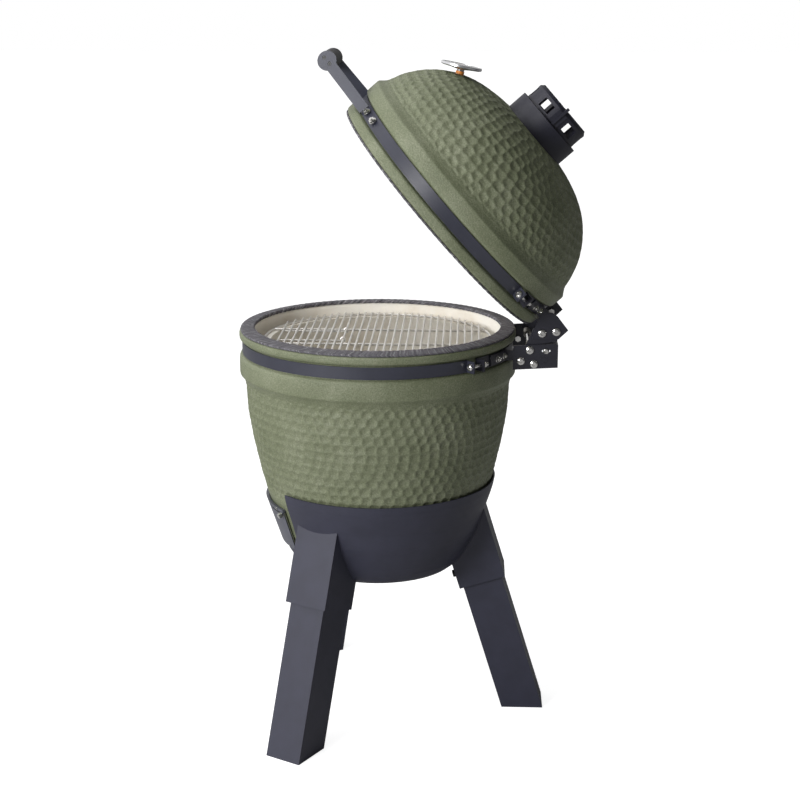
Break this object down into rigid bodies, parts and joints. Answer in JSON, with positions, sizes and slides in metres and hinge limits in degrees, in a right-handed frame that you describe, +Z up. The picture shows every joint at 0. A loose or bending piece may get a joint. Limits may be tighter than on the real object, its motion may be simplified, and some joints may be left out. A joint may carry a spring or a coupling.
{
  "type": "ceramic kamado grill",
  "caption": "Egg-shaped ceramic kamado charcoal grill with a spring-hinged lid, turning top vent, thermometer, cooking grate with flap and draft door, on a steel cradle with legs.",
  "frame": {"origin": "on the floor, at the middle of the footprint of the whole object in its open rest pose", "axes": "+Z up, -Y towards the front with the handle and the draft door, +Y towards the lid hinge and the back leg, +X to the right seen from the back"},
  "size_m": [0.5924, 0.6335, 1.2544],
  "materials": {
    "steel_paint": "satin",
    "band_paint": "satin",
    "bracket_paint": "satin",
    "handle_paint": "satin",
    "black_screws": "satin",
    "glazed_ceramic": "satin",
    "raw_ceramic": "matte",
    "gasket": "matte",
    "bolts": "satin",
    "spring_steel": "satin",
    "door_frame": "satin",
    "door_steel": "brushed",
    "cast_iron": "matte",
    "grate_steel": "satin",
    "grip": "matte",
    "gauge_chrome": "polished",
    "gauge_face": "satin",
    "gauge_needle": "satin",
    "gauge_glass": "polished",
    "gauge_gland": "satin",
    "vent_iron": "satin"
  },
  "bodies": {
    "stand": {"cradle": "steel_paint", "socket_back": "steel_paint", "socket_left": "steel_paint", "socket_right": "steel_paint", "leg_back": "steel_paint", "leg_left": "steel_paint", "leg_right": "steel_paint", "leg_bolts": "black_screws", "base_shell": "glazed_ceramic", "base_gasket": "gasket", "base_band": "band_paint", "base_clamp_bolts": "bolts", "lower_bracket": "bracket_paint", "hinge_pin": "bolts", "lower_bolts": "bolts", "slot_bolts": "bolts", "hinge_springs": "spring_steel", "draft_frame": "door_frame", "draft_screws": "bolts", "fire_box": "raw_ceramic", "fire_ring": "raw_ceramic", "charcoal_grate": "cast_iron", "cooking_grate": "grate_steel"},
    "lid": {"lid_shell": "glazed_ceramic", "lid_gasket": "gasket", "lid_band": "band_paint", "lid_clamp_bolts": "bolts", "upper_bracket": "bracket_paint", "hinge_arms": "bracket_paint", "arm_bolts": "bolts", "spring_hooks": "spring_steel", "handle_arm_left": "handle_paint", "handle_arm_right": "handle_paint", "handle_grip": "grip", "grip_screws": "black_screws", "handle_bolts": "bolts", "gauge_case": "gauge_chrome", "gauge_dial": "gauge_face", "gauge_needle": "gauge_needle", "gauge_glass": "gauge_glass", "gauge_gland": "gauge_gland", "gauge_probe": "gauge_chrome", "vent_collar": "vent_iron"},
    "vent": {"vent_cap": "vent_iron"},
    "draft_slider": {"draft_door": "door_steel", "draft_knob": "door_steel"},
    "flap": {"grate_flap": "grate_steel"}
  },
  "joints": [
    {"name": "lid_hinge", "type": "hinge", "parent": "stand", "child": "lid", "pos_m": [0, 0.221, 0.728], "axis": [-1, 0, 0], "range_deg": [-48.7, 3]},
    {"name": "vent_turn", "type": "hinge", "parent": "lid", "child": "vent", "pos_m": [0, 0.26481, 1.13919], "axis": [0, 0.7513, 0.66], "range_deg": [-30, 30]},
    {"name": "draft_slide", "type": "hinge", "parent": "stand", "child": "draft_slider", "pos_m": [0, -0.059, 0.388], "axis": [0, 0, 1], "range_deg": [-24, 0]},
    {"name": "flap_hinge", "type": "hinge", "parent": "stand", "child": "flap", "pos_m": [0, -0.121, 0.7323], "axis": [-1, 0, 0], "range_deg": [0, 95]}
  ]
}
